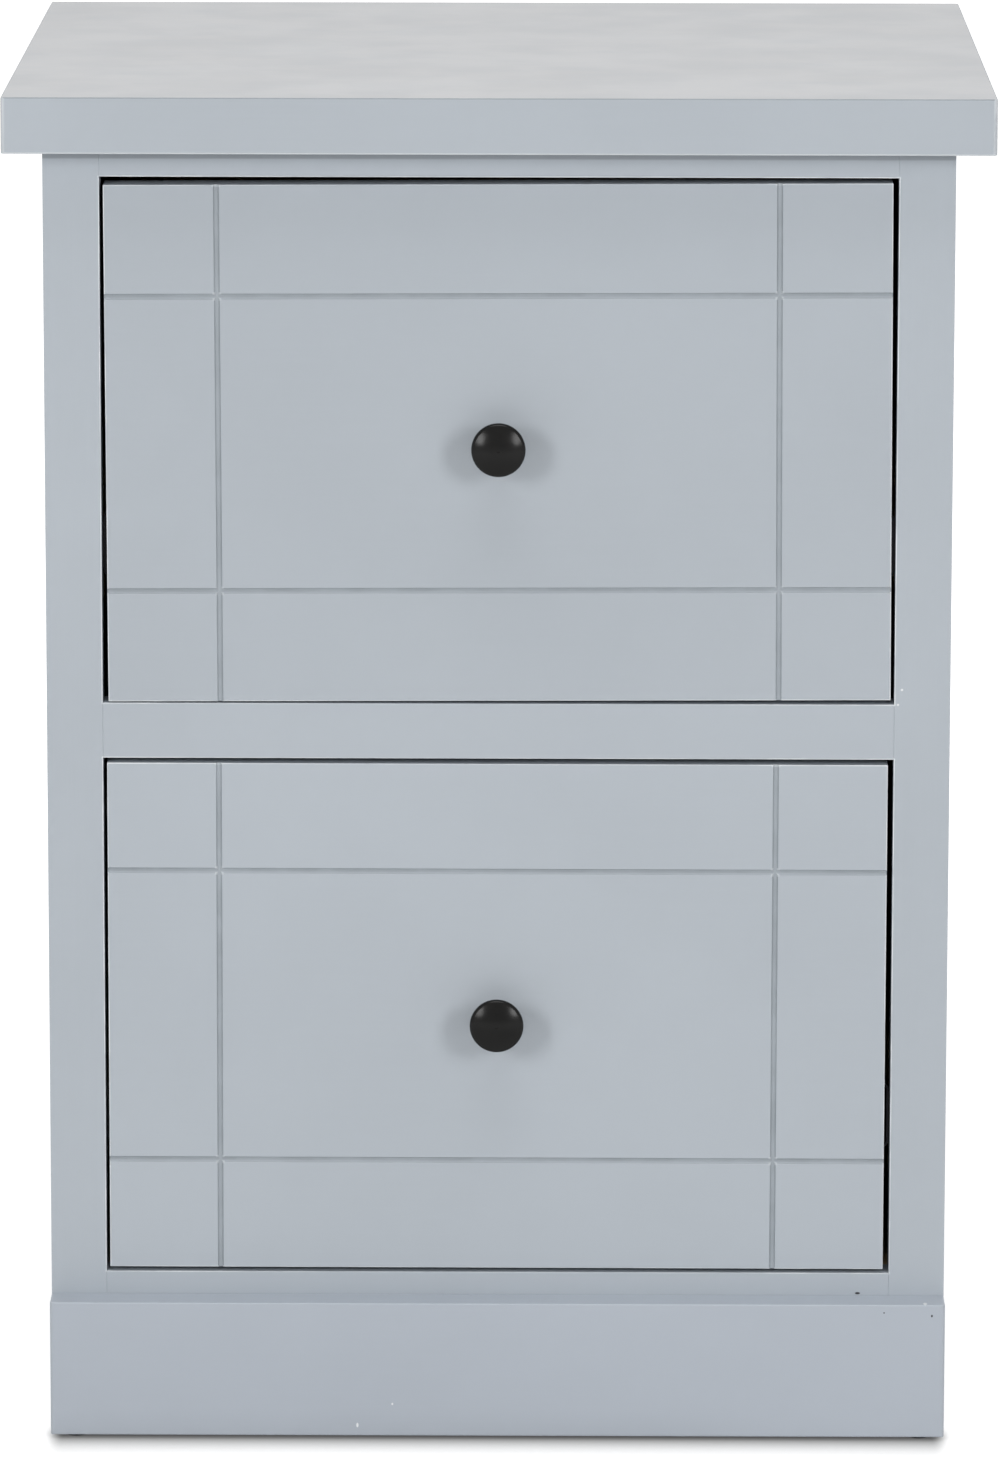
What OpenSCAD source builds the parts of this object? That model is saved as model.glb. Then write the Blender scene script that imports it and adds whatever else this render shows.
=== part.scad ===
// Nightstand with two inset drawers: a painted case with a face frame, a proud plinth
// board, dovetailed drawer boxes on ball-bearing slides, grooved fronts and round knobs.
// Millimetres. +Z is up, the drawers open towards -Y, and the origin is on the floor
// under the middle of the whole object.

/* [Overall] */
// Width of the top board
top_w = 508; // [450:1:600]
// Depth of the top board
top_d = 457; // [435:1:560]
// Height from the floor to the top surface
total_h = 706; // [600:1:800]

/* [Top board] */
// Thickness of the top board
top_t = 29; // [25:0.5:40]
// How far the top stands out past the case at the front and both sides
top_overhang = 20; // [5:1:30]
// Rounding of the top board's upper and lower edges
top_edge_r = 0.8; // [0.4:0.1:4]
// Rounding of the top board's upright corners
top_corner_r = 2.5; // [0.5:0.25:6]

/* [Case] */
// Thickness of the side panels
side_t = 18; // [16:0.5:18.5]
// Thickness of the back panel
back_t = 6; // [5:0.5:9]
// How far the back panel laps onto each side panel
back_lap = 10; // [9:0.5:12]
// Height of the back panel's lower edge above the case's foot
back_lift = 8; // [2:1:20]
// Thickness of the bottom panel
bottom_t = 16; // [12:1:20]
// Depth of the housings that hold the bottom panel in the sides
housing_depth = 6; // [3:0.5:8]
// Thickness of the two stretchers under the top
stretcher_t = 14; // [12:0.5:18]
// Width of the two stretchers under the top
stretcher_w = 70; // [50:1:90]
// Thickness of the rear base rail
base_rail_t = 18; // [17:0.5:22]
// Side of the square glue blocks behind the base
block_w = 30; // [20:1:45]

/* [Face frame] */
// Thickness of the face frame
frame_t = 19; // [16:0.5:24]
// Width of the stiles
stile_w = 29; // [29:0.5:40]
// Height of the top rail
top_rail_w = 14; // [12:0.5:30]
// Height of the rail between the drawers
middle_rail_w = 29; // [18:0.5:45]
// Height of the bottom rail that shows above the plinth
bottom_rail_show = 12; // [6:0.5:30]
// Rounding of the face frame's long edges
frame_edge_r = 0.3; // [0.2:0.1:2]
// Diameter of the dowels between the stiles and the rails
dowel_d = 8; // [6:0.5:8]
// Length of the dowels
dowel_len = 36; // [24:1:40]
// Distance of the bottom rail's dowels from its edges
dowel_edge = 16; // [10:1:24]

/* [Plinth] */
// Height of the plinth board
plinth_h = 71.5; // [50:0.5:110]
// Thickness of the plinth board
plinth_t = 20; // [17:0.5:24]
// Rounding of the plinth board's upper and lower edges
plinth_edge_r = 0.8; // [0.4:0.1:4]
// Rounding of the plinth board's upright corners
plinth_corner_r = 2; // [0.5:0.25:4]

/* [Floor glides] */
// Diameter of the glides
glide_d = 11; // [10:0.5:16]
// Height of the glides, which is the gap between the case and the floor
glide_h = 2; // [1.5:0.25:6]
// Distance of each front glide's centre from the end of the plinth
glide_inset = 13; // [10:1:60]
// Distance of each rear glide's centre from the back
glide_back = 30; // [12:1:80]
// Diameter of the glides' nails
glide_nail_d = 2.5; // [2:0.1:3.5]
// Length of the glides' nails above the foot of the case
glide_nail_len = 14; // [8:1:20]

/* [Drawer fronts] */
// Thickness of the drawer fronts
front_t = 19; // [18:0.5:24]
// Gap above each drawer front
gap_top = 3; // [1:0.1:4]
// Gap below each drawer front
gap_bottom = 2; // [1:0.1:4]
// Gap at each end of a drawer front
gap_side = 2.5; // [1:0.1:4]
// Rounding of the drawer fronts' edges
front_edge_r = 0.5; // [0.3:0.1:2.5]
// Distance of the grooves from the edges of a drawer front
groove_inset = 58; // [25:0.5:90]
// Width of the grooves at the face
groove_w = 3.1; // [2.8:0.1:5]
// Depth of the grooves
groove_depth = 1.2; // [0.6:0.1:1.5]

/* [Drawer boxes] */
// Thickness of the boxes' sides, inner fronts and backs
box_t = 12; // [12:0.5:15]
// Thickness of the boxes' bottoms
floor_t = 5; // [3:0.5:6]
// Depth of the grooves that hold the boxes' bottoms
floor_groove = 6; // [3:0.5:8]
// Height of a box's bottom above the lower edges of its sides
floor_up = 10; // [6:1:20]
// Gap between a box and the opening's lower edge
box_gap_low = 15; // [8:1:25]
// Gap between a box and the opening's upper edge
box_gap_high = 25; // [20:1:45]
// Gap between a box and the back panel
box_gap_rear = 25; // [15:1:28]
// Number of dovetails at each corner of a box
tails = 5; // [3:1:7]
// Width of the pins between the dovetails, at their narrow side
pin_w = 9; // [6:0.5:12]
// How much a dovetail widens on each side towards its end
tail_flare = 2; // [1:0.25:2.5]

/* [Drawer slides] */
// Length of the slides
slide_len = 350; // [300:1:350]
// Length of the ball cages, which is what the slides keep engaged when open
cage_len = 90; // [70:1:110]
// Height of the slides
slide_h = 35; // [32:0.5:44]
// Thickness of the closed slides, which is the gap beside each box
slide_t = 12.7; // [12.5:0.1:14]
// Thickness of the slides' sheet steel
sheet_t = 1.2; // [1:0.1:1.3]
// Diameter of the balls
ball_d = 5; // [5:0.1:5.4]
// Distance between balls in a row
ball_pitch = 15; // [12:1:25]
// Play between the balls and their tracks
ball_play = 0.3; // [0.25:0.05:0.4]
// Thickness of the ball cages' sheet
cage_t = 0.8; // [0.6:0.1:0.8]
// Setback of the slides and the front stretcher behind the face frame
inner_setback = 2; // [1:0.5:8]
// Distance of the slides' outermost screws from their ends
slide_screw_inset = 28; // [15:1:60]
// Outer radius of the bends in the slides' sheet
bend_r = 2; // [1.5:0.1:2.5]
// How far the outer slides curl in under the balls, in degrees
lip_angle = 20; // [10:1:22]
// Height of the slides' centre line above the opening's lower edge
slide_up = 80; // [60:1:120]
// Height of the packing strips behind the slides
packer_h = 62; // [58:1:80]

/* [Knobs] */
// Diameter of the knobs
knob_d = 28; // [24:0.5:36]
// How far the knobs stand out from the drawer fronts
knob_reach = 25; // [22:0.5:32]
// Radius of the knobs' domed faces
dome_r = 31; // [18:0.5:34]
// Rounding of the knobs' rims
rim_r = 2.4; // [1:0.1:2.5]
// Diameter of the knobs' necks
neck_d = 12; // [10:0.5:14]
// Diameter of the knobs' bases
base_d = 16.5; // [15:0.5:20]
// Thickness of the knobs' bases
base_t = 1.6; // [1:0.1:3]
// Length of screw inside each knob
knob_bite = 11; // [8:0.5:13]

/* [Screws] */
// Diameter of the wood screws
screw_d = 4; // [3.5:0.1:4.4]
// Head diameter of the countersunk wood screws
screw_head_d = 7.6; // [7:0.1:8]
// How far the wood screws bite into the piece they hold to
screw_bite = 12; // [8:0.5:13]
// Diameter of the back panel's screws
back_screw_d = 3; // [2.5:0.1:3.5]
// How far the back panel's screws bite into the case
back_bite = 16; // [10:1:20]
// Diameter of the slides' screws
slide_screw_d = 3.5; // [3:0.1:4]
// Length of the slides' screws in the wood
slide_bite = 9; // [6:0.5:9.5]
// Diameter of the knobs' machine screws
knob_screw_d = 4; // [3.5:0.1:5]
// Play around a screw where it passes through a hole
hole_play = 0.5; // [0.2:0.1:1]
// Play around a thread, nail or dowel in the hole that holds it
thread_play = 0.05; // [0.03:0.01:0.1]

/* [Hidden] */
$fn = 64;

LEFT = -1;
RIGHT = 1;
LOWER = 0;
UPPER = 1;

PAINT = [0.70, 0.735, 0.765];
BIRCH = [0.83, 0.72, 0.56];
BEECH = [0.78, 0.60, 0.42];
HARDBOARD = [0.50, 0.38, 0.27];
ZINC = [0.74, 0.75, 0.77];
BLACK_ZINC = [0.17, 0.17, 0.18];
CAGE = [0.55, 0.56, 0.58];
BLACK = [0.13, 0.13, 0.13];

// Places along Y: the face of the case, the back of the case and what lies between
front_reach = max(knob_reach, top_overhang, plinth_t);
case_d = top_d - top_overhang;
face_y = (front_reach - case_d) / 2;
back_y = face_y + case_d;
frame_back_y = face_y + frame_t;
panel_y = back_y - back_t;

// Places along Z
under_top = total_h - top_t;
plinth_top = glide_h + plinth_h;
opening_low = plinth_top + bottom_rail_show;
opening_h = (under_top - top_rail_w - middle_rail_w - opening_low) / 2;
bottom_low = opening_low - bottom_t;

// Places along X: half widths from the middle of the case
case_x = top_w / 2 - top_overhang;
inner_x = case_x - side_t;
opening_x = case_x - stile_w;
box_x = opening_x - slide_t;

// Drawer fronts and boxes
front_w = 2 * (opening_x - gap_side);
front_h = opening_h - gap_top - gap_bottom;
box_y = face_y + front_t;
box_d = panel_y - box_gap_rear - box_y;
box_h = opening_h - box_gap_low - box_gap_high;

// Slides
slide_y = max(frame_back_y, box_y) + inner_setback;
travel = slide_len - cage_len;
track_r = ball_d / 2 + ball_play;
ball_x = track_r + sheet_t;
ball_z = slide_h / 2 - ball_x;
cage_web_x = sheet_t + ball_play;
slide_screw_ys = [slide_screw_inset, slide_len / 2, slide_len - slide_screw_inset];

// Fine sizes of the knobs and screws
rim_h = knob_reach - dome_r + sqrt(pow(dome_r - rim_r, 2) - pow(knob_d / 2 - rim_r, 2));
pan_head_h = 2.2;
pan_head_d = 7;
knob_head_d = 9;
screw_head_h = (screw_head_d - screw_d) / 2;

// Height of the lower edge of the lower (0) or upper (1) opening
function opening_z(level) = opening_low + level * (opening_h + middle_rail_w);

// Heights of a drawer's front, box and slides
function front_z(level) = opening_z(level) + gap_bottom;
function box_z(level) = opening_z(level) + box_gap_low;
function slide_z(level) = opening_z(level) + slide_up;

// ---------------------------------------------------------------- helpers

// Block between two opposite corners
module slab(low, high) {
    translate(low) cube(high - low);
}

// Rectangle with its lower corner at the origin and round corners
module round_rect(size, r) {
    translate([r, 0]) square([size.x - 2 * r, size.y]);
    translate([0, r]) square([size.x, size.y - 2 * r]);
    for (x = [r, size.x - r], y = [r, size.y - r])
        translate([x, y]) circle(r);
}

// Block between two opposite corners with its level edges rounded by r and its upright
// ones by corner_r
module eased_slab(low, high, r, corner_r) {
    size = high - low;
    translate(low)
        intersection() {
            linear_extrude(size.z) round_rect([size.x, size.y], corner_r);
            translate([0, size.y, 0])
                rotate([90, 0, 0])
                    linear_extrude(size.y) round_rect([size.x, size.z], r);
            rotate([90, 0, 90]) linear_extrude(size.x) round_rect([size.y, size.z], r);
        }
}

// Draws a left-hand piece from its right-hand form
module on_side(side) {
    mirror([side == LEFT ? 1 : 0, 0, 0]) children();
}

// Extrudes an X-Z outline along Y from y by len
module along_y(y, len) {
    translate([0, y + len, 0]) rotate([90, 0, 0]) linear_extrude(len) children();
}

// Turns a piece that points along +Z so that it points along -Y, +Y, -X or +X
module point_front() { rotate([90, 0, 0]) children(); }
module point_back() { rotate([-90, 0, 0]) children(); }
module point_left() { rotate([0, -90, 0]) children(); }
module point_right() { rotate([0, 90, 0]) children(); }

// Countersunk screw along +Z with its head's flat face at z = 0
module flat_screw(d, head_d, len) {
    head_h = (head_d - d) / 2;
    tip_h = d;
    rotate_extrude()
        polygon([[0, 0], [head_d / 2, 0], [d / 2, head_h], [d / 2, len - tip_h], [0, len]]);
}

// Hole for a countersunk screw: its head seats, and its thread fills a pilot hole
module flat_screw_hole(d, head_d, len) {
    head_h = (head_d - d) / 2;
    cylinder(h = len, d = d + 2 * thread_play);
    cylinder(h = head_h, d1 = head_d, d2 = d);
}

// Round-headed screw along +Z with the underside of its head at z = 0
module pan_screw(d, head_d, head_h, len) {
    cylinder(h = len, d = d);
    rotate_extrude()
        intersection() {
            translate([0, -head_h]) square([head_d / 2, head_h]);
            translate([0, head_d - head_h]) circle(head_d);
        }
}

// ---------------------------------------------------------------- case

module top() {
    color(PAINT)
        difference() {
            eased_slab([-top_w / 2, back_y - top_d, under_top],
                       [top_w / 2, back_y, total_h], top_edge_r, top_corner_r);
            top_screw_places()
                flat_screw_hole(screw_d, screw_head_d, stretcher_t + screw_bite);
        }
}

// The screws that hold the top rise through both stretchers
module top_screw_places() {
    for (side = [LEFT, RIGHT],
         y = [slide_y + stretcher_w / 2, panel_y - stretcher_w / 2])
        translate([side * inner_x / 2, y, under_top - stretcher_t]) children();
}

module top_screws() {
    color(ZINC)
        top_screw_places() flat_screw(screw_d, screw_head_d, stretcher_t + screw_bite);
}

module stretcher(y) {
    color(BIRCH)
        difference() {
            slab([-inner_x, y, under_top - stretcher_t],
                 [inner_x, y + stretcher_w, under_top]);
            top_screw_places()
                flat_screw_hole(screw_d, screw_head_d, stretcher_t + screw_bite);
            back_screw_places()
                flat_screw_hole(back_screw_d, 2 * back_screw_d, back_t + back_bite);
        }
}

module side_panel(side) {
    color(PAINT)
        difference() {
            on_side(side)
                difference() {
                    slab([inner_x, frame_back_y, glide_h], [case_x, back_y, under_top]);
                    slab([inner_x - 1, panel_y, glide_h - 1],
                         [inner_x + back_lap, back_y + 1, under_top + 1]);
                    slab([inner_x - 1, frame_back_y - 1, bottom_low],
                         [inner_x + housing_depth, panel_y, opening_low]);
                }
            back_screw_places()
                flat_screw_hole(back_screw_d, 2 * back_screw_d, back_t + back_bite);
            for (level = [LOWER, UPPER])
                packer_screw_places(side, level)
                    flat_screw_hole(screw_d, screw_head_d, stile_w - side_t + screw_bite);
            glide_places() glide_nail(thread_play);
        }
}

// The back panel is screwed to the side panels, the rear stretcher and the rear base rail
module back_screw_places() {
    lap_x = inner_x + back_lap / 2;
    base_z = (glide_h + back_lift + bottom_low) / 2;
    rise = under_top - opening_low;
    side_zs = [base_z, for (k = [0:3]) opening_low + rise * (k + 0.5) / 4];
    for (side = [LEFT, RIGHT], z = side_zs)
        translate([side * lap_x, back_y, z]) point_front() children();
    for (z = [base_z, under_top - stretcher_t / 2])
        translate([0, back_y, z]) point_front() children();
}

module back_screws() {
    color(ZINC)
        back_screw_places() flat_screw(back_screw_d, 2 * back_screw_d, back_t + back_bite);
}

module back_panel() {
    color(HARDBOARD)
        difference() {
            slab([-inner_x - back_lap, panel_y, glide_h + back_lift],
                 [inner_x + back_lap, back_y, under_top]);
            back_screw_places()
                flat_screw_hole(back_screw_d, 2 * back_screw_d, back_t + back_bite);
        }
}

module bottom_panel() {
    color(BIRCH)
        slab([-inner_x - housing_depth, frame_back_y, bottom_low],
             [inner_x + housing_depth, panel_y, opening_low]);
}

module rear_base_rail() {
    color(BIRCH)
        difference() {
            slab([-inner_x, panel_y - base_rail_t, glide_h], [inner_x, panel_y, bottom_low]);
            back_screw_places()
                flat_screw_hole(back_screw_d, 2 * back_screw_d, back_t + back_bite);
        }
}

module glue_blocks() {
    color(BIRCH)
        for (side = [LEFT, RIGHT])
            on_side(side)
                slab([inner_x - block_w, frame_back_y, glide_h],
                     [inner_x, frame_back_y + block_w, bottom_low]);
}

// ---------------------------------------------------------------- face frame and plinth

module stile(side) {
    color(PAINT)
        difference() {
            on_side(side)
                eased_slab([opening_x, face_y, glide_h], [case_x, frame_back_y, under_top],
                           frame_edge_r, frame_edge_r);
            dowel_places() dowel(thread_play);
        }
}

module rail(low, high) {
    color(PAINT)
        difference() {
            eased_slab([-opening_x, face_y, low], [opening_x, frame_back_y, high],
                       frame_edge_r, frame_edge_r);
            dowel_places() dowel(thread_play);
        }
}

// One dowel at each end of the top and middle rails, and two at each end of the bottom one
module dowel_places() {
    for (side = [LEFT, RIGHT],
         z = [under_top - top_rail_w / 2,
              opening_z(UPPER) - middle_rail_w / 2,
              glide_h + dowel_edge, opening_low - dowel_edge])
        translate([side * opening_x, face_y + frame_t / 2, z]) children();
}

module dowel(play) {
    translate([-dowel_len / 2, 0, 0])
        point_right() cylinder(h = dowel_len, d = dowel_d + 2 * play);
}

module frame_dowels() {
    color(BEECH) dowel_places() dowel(0);
}

module plinth_board() {
    color(PAINT)
        difference() {
            eased_slab([-case_x, face_y - plinth_t, glide_h], [case_x, face_y, plinth_top],
                       plinth_edge_r, plinth_corner_r);
            glide_places() glide_nail(thread_play);
        }
}

// ---------------------------------------------------------------- floor glides

// Two glides under the plinth board and two under the side panels
module glide_places() {
    for (side = [LEFT, RIGHT]) {
        translate([side * (case_x - glide_inset), face_y - plinth_t / 2, 0]) children();
        translate([side * (case_x - side_t / 2), back_y - glide_back, 0]) children();
    }
}

module glide_nail(play) {
    translate([0, 0, glide_h - 1])
        cylinder(h = glide_nail_len + 1, d = glide_nail_d + 2 * play);
}

module floor_glides() {
    edge = glide_h / 2;
    color(BLACK)
        glide_places() {
            rotate_extrude()
                union() {
                    square([glide_d / 2 - edge, glide_h]);
                    translate([0, edge]) square([glide_d / 2, glide_h - edge]);
                    translate([glide_d / 2 - edge, edge]) circle(edge);
                }
            glide_nail(0);
        }
}

// ---------------------------------------------------------------- slides

// Packing strip that brings a slide flush with the stile's inner edge
module packer(side, level) {
    color(BIRCH)
        difference() {
            on_side(side)
                slab([opening_x, frame_back_y, slide_z(level) - packer_h / 2],
                     [inner_x, panel_y, slide_z(level) + packer_h / 2]);
            packer_screw_places(side, level)
                flat_screw_hole(screw_d, screw_head_d, stile_w - side_t + screw_bite);
            outer_screw_places(side, level)
                flat_screw_hole(slide_screw_d, 2 * slide_screw_d, sheet_t + slide_bite);
        }
}

module packer_screw_places(side, level) {
    rise = (slide_h + packer_h) / 4;
    run = panel_y - frame_back_y;
    on_side(side)
        for (y = [frame_back_y + run / 5, panel_y - run / 5])
            translate([opening_x, y, slide_z(level) + rise]) point_right() children();
}

module packer_screws() {
    color(ZINC)
        for (side = [LEFT, RIGHT], level = [LOWER, UPPER])
            packer_screw_places(side, level)
                flat_screw(screw_d, screw_head_d, stile_w - side_t + screw_bite);
}

// Sector of a ring between two angles
module ring_sector(r_in, r_out, from, to) {
    far = 2 * r_out;
    intersection() {
        difference() {
            circle(r_out);
            circle(r_in);
        }
        polygon([[0, 0], for (k = [0:4]) let (a = from + (to - from) * k / 4)
                             [far * cos(a), far * sin(a)]]);
    }
}

// Upper and lower half of a slide's section: x grows from the packer to the drawer
module both_halves() {
    children();
    mirror([0, 1]) children();
}

// Outer member: a web against the packer, curled around both rows of balls
module outer_section() {
    translate([0, -ball_z]) square([sheet_t, 2 * ball_z]);
    both_halves()
        translate([ball_x, ball_z]) ring_sector(track_r, track_r + sheet_t, -lip_angle, 180);
}

// Inner member: a web against the drawer box, bent into flanges that swing down into a
// track under each row of balls
module inner_section() {
    track_mid = track_r + sheet_t / 2;
    swing_r = bend_r - sheet_t / 2;
    track_to = -55;
    track_from = -90 - asin((ball_x - cage_web_x - cage_t - ball_play) / (track_r + sheet_t));
    swing = [ball_x, ball_z] + (track_mid + swing_r) * [cos(track_to), sin(track_to)];
    top_z = swing.y + bend_r;
    corner_x = slide_t - bend_r;
    translate([slide_t - sheet_t, bend_r - top_z]) square([sheet_t, 2 * (top_z - bend_r)]);
    both_halves() {
        translate([corner_x, top_z - bend_r]) ring_sector(bend_r - sheet_t, bend_r, 0, 90);
        translate([swing.x, top_z - sheet_t]) square([corner_x - swing.x, sheet_t]);
        translate(swing) ring_sector(bend_r - sheet_t, bend_r, 90, 180 + track_to);
        translate([ball_x, ball_z])
            ring_sector(track_r, track_r + sheet_t, track_from, track_to);
    }
}

// Ball cage: a channel whose flanges hold the balls
module cage_section() {
    translate([cage_web_x, -ball_z - cage_t / 2]) square([cage_t, 2 * ball_z + cage_t]);
    both_halves()
        translate([cage_web_x, ball_z - cage_t / 2])
            square([ball_x - cage_web_x + ball_d / 2, cage_t]);
}

// Places a slide's section frame: x = 0 on the packer and growing towards the drawer
module at_slide(side, level) {
    on_side(side) translate([opening_x, 0, slide_z(level)]) mirror([1, 0, 0]) children();
}

module outer_screw_places(side, level) {
    at_slide(side, level)
        for (y = slide_screw_ys)
            translate([sheet_t, slide_y + y, 0]) point_left() children();
}

module inner_screw_places(side, level) {
    at_slide(side, level)
        for (y = slide_screw_ys)
            translate([slide_t - sheet_t, slide_y + y, 0]) point_right() children();
}

module outer_slide(side, level) {
    color(BLACK_ZINC)
        difference() {
            at_slide(side, level) along_y(slide_y, slide_len) outer_section();
            outer_screw_places(side, level)
                flat_screw_hole(slide_screw_d, 2 * slide_screw_d, sheet_t + slide_bite);
        }
}

module outer_slide_screws() {
    color(ZINC)
        for (side = [LEFT, RIGHT], level = [LOWER, UPPER])
            outer_screw_places(side, level)
                flat_screw(slide_screw_d, 2 * slide_screw_d, sheet_t + slide_bite);
}

module inner_slide(side, level) {
    color(BLACK_ZINC)
        difference() {
            at_slide(side, level) along_y(slide_y, slide_len) inner_section();
            inner_screw_places(side, level)
                cylinder(h = 2 * sheet_t, d = slide_screw_d + hole_play);
        }
}

module slide_screws(level) {
    color(ZINC)
        for (side = [LEFT, RIGHT])
            inner_screw_places(side, level)
                pan_screw(slide_screw_d, pan_head_d, pan_head_h, sheet_t + slide_bite);
}

// With the drawer shut a cage stands as far back as half the drawer's travel
module ball_cage(side, level) {
    balls = round(cage_len / ball_pitch);
    first = (cage_len - (balls - 1) * ball_pitch) / 2;
    color(CAGE)
        at_slide(side, level) {
            along_y(slide_y + travel / 2, cage_len) cage_section();
            for (k = [0:balls - 1], z = [-ball_z, ball_z])
                translate([ball_x, slide_y + travel / 2 + first + k * ball_pitch, z])
                    sphere(d = ball_d);
        }
}

// ---------------------------------------------------------------- drawers

// Round-bottomed groove along +Z, cut into the face y = 0
module groove(len) {
    groove_r = (pow(groove_w / 2, 2) + pow(groove_depth, 2)) / (2 * groove_depth);
    translate([0, groove_depth - groove_r, 0]) cylinder(h = len, r = groove_r);
}

module drawer_front(level) {
    low = front_z(level);
    high = low + front_h;
    color(PAINT)
        difference() {
            eased_slab([-front_w / 2, face_y, low], [front_w / 2, face_y + front_t, high],
                       front_edge_r, front_edge_r);
            for (x = [-1, 1] * (front_w / 2 - groove_inset))
                translate([x, face_y, low - 1]) groove(front_h + 2);
            for (z = [low + groove_inset, high - groove_inset])
                translate([-front_w / 2 - 1, face_y, z])
                    rotate([0, 90, 0]) groove(front_w + 2);
            knob_place(level) cylinder(h = box_t + front_t, d = knob_screw_d + hole_play);
            front_screw_places(level)
                flat_screw_hole(screw_d, screw_head_d, box_t + screw_bite);
        }
}

// Inside face of the box front, behind the middle of the drawer front
module knob_place(level) {
    translate([0, box_y + box_t, front_z(level) + front_h / 2]) point_front() children();
}

// Four screws hold the drawer front to the box
module front_screw_places(level) {
    for (side = [LEFT, RIGHT], z = [box_h / 4, box_h * 3 / 4])
        translate([side * box_x * 2 / 3, box_y + box_t, box_z(level) + z])
            point_front() children();
}

module front_screws(level) {
    color(ZINC)
        front_screw_places(level) flat_screw(screw_d, screw_head_d, box_t + screw_bite);
}

// Dovetails on the end of a box side: an outline in Y-Z with its shoulder at y = 0,
// the ends at y = box_t, and half pins at the top and bottom
module tail_outline() {
    pitch = box_h / tails;
    for (k = [0:tails - 1])
        translate([0, (k + 0.5) * pitch])
            polygon([[0, -pitch / 2 + pin_w / 2 + tail_flare],
                     [box_t, -pitch / 2 + pin_w / 2],
                     [box_t, pitch / 2 - pin_w / 2],
                     [0, pitch / 2 - pin_w / 2 - tail_flare]]);
}

module box_side(side, level) {
    color(BIRCH)
        difference() {
            on_side(side)
                translate([box_x - box_t, box_y, box_z(level)])
                    rotate([90, 0, 90])
                        linear_extrude(box_t) {
                            translate([box_t, 0]) square([box_d - 2 * box_t, box_h]);
                            translate([box_t, 0]) mirror([1, 0]) tail_outline();
                            translate([box_d - box_t, 0]) tail_outline();
                        }
            floor_board(level);
            inner_screw_places(side, level)
                cylinder(h = sheet_t + slide_bite, d = slide_screw_d + 2 * thread_play);
        }
}

// Front or back wall of a box: a board between the sides, with pins that fill the
// spaces between their dovetails
module box_end(level) {
    translate([0, 0, box_z(level)]) {
        slab([-box_x + box_t, 0, 0], [box_x - box_t, box_t, box_h]);
        for (side = [LEFT, RIGHT])
            on_side(side)
                translate([box_x - box_t, 0, 0])
                    rotate([90, 0, 90])
                        linear_extrude(box_t)
                            difference() {
                                square([box_t, box_h]);
                                translate([box_t, 0]) mirror([1, 0]) tail_outline();
                            }
    }
}

module box_front(level) {
    color(BIRCH)
        difference() {
            translate([0, box_y, 0]) box_end(level);
            floor_board(level);
            knob_place(level) cylinder(h = box_t, d = knob_screw_d + hole_play);
            front_screw_places(level)
                flat_screw_hole(screw_d, screw_head_d, box_t + screw_bite);
        }
}

module box_back(level) {
    color(BIRCH)
        difference() {
            translate([0, box_y + box_d, 0]) mirror([0, 1, 0]) box_end(level);
            floor_board(level);
        }
}

// The box's bottom, which is also the shape of the grooves that hold it
module floor_board(level) {
    slab([-box_x + box_t - floor_groove, box_y + box_t - floor_groove,
          box_z(level) + floor_up],
         [box_x - box_t + floor_groove, box_y + box_d - box_t + floor_groove,
          box_z(level) + floor_up + floor_t]);
}

module box_floor(level) {
    color(BIRCH) floor_board(level);
}

// ---------------------------------------------------------------- knobs

// Half section of a knob: its base at y = 0 and its domed face at y = knob_reach
module knob_section() {
    head_r = knob_d / 2;
    under_h = rim_h - rim_r;
    cove_r = head_r - rim_r - neck_d / 2;
    foot_r = (base_d - neck_d) / 2;
    reach = dome_r / (dome_r - rim_r);
    meet_x = (head_r - rim_r) * reach;
    meet_h = knob_reach - dome_r + (rim_h - knob_reach + dome_r) * reach;
    intersection() {
        translate([0, knob_reach - dome_r]) circle(dome_r);
        translate([0, meet_h]) square([meet_x, dome_r]);
    }
    polygon([[0, under_h], [head_r - rim_r, under_h], [head_r - rim_r, rim_h],
             [meet_x, meet_h], [0, meet_h]]);
    translate([head_r - rim_r, rim_h]) circle(rim_r);
    difference() {
        square([head_r - rim_r, under_h]);
        translate([head_r - rim_r, under_h - cove_r]) circle(cove_r);
        translate([neck_d / 2, base_t + foot_r])
            square([head_r, under_h - cove_r - base_t - foot_r]);
        translate([neck_d / 2 + foot_r, base_t + foot_r]) circle(foot_r);
        translate([base_d / 2, -1]) square([head_r, under_h - cove_r + 1]);
    }
}

module knob(level) {
    color(BLACK)
        translate([0, face_y, front_z(level) + front_h / 2])
            point_front()
                difference() {
                    rotate_extrude() knob_section();
                    translate([0, 0, -1])
                        cylinder(h = knob_bite + 2, d = knob_screw_d + 2 * thread_play);
                }
}

module knob_screw(level) {
    color(ZINC)
        knob_place(level)
            pan_screw(knob_screw_d, knob_head_d, pan_head_h, box_t + front_t + knob_bite);
}

// ---------------------------------------------------------------- assembly

top();
side_panel(LEFT);  // left_side
side_panel(RIGHT);  // right_side
back_panel();
bottom_panel();
stretcher(slide_y);  // front_stretcher
stretcher(panel_y - stretcher_w);  // rear_stretcher
rear_base_rail();
glue_blocks();
stile(LEFT);  // left_stile
stile(RIGHT);  // right_stile
rail(under_top - top_rail_w, under_top);  // top_rail
rail(opening_z(UPPER) - middle_rail_w, opening_z(UPPER));  // middle_rail
rail(glide_h, opening_low);  // bottom_rail
plinth_board();
frame_dowels();
floor_glides();
top_screws();
back_screws();
packer(LEFT, LOWER);  // lower_left_packer
packer(RIGHT, LOWER);  // lower_right_packer
packer(LEFT, UPPER);  // upper_left_packer
packer(RIGHT, UPPER);  // upper_right_packer
packer_screws();
outer_slide(LEFT, LOWER);  // lower_left_outer_slide
outer_slide(RIGHT, LOWER);  // lower_right_outer_slide
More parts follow.
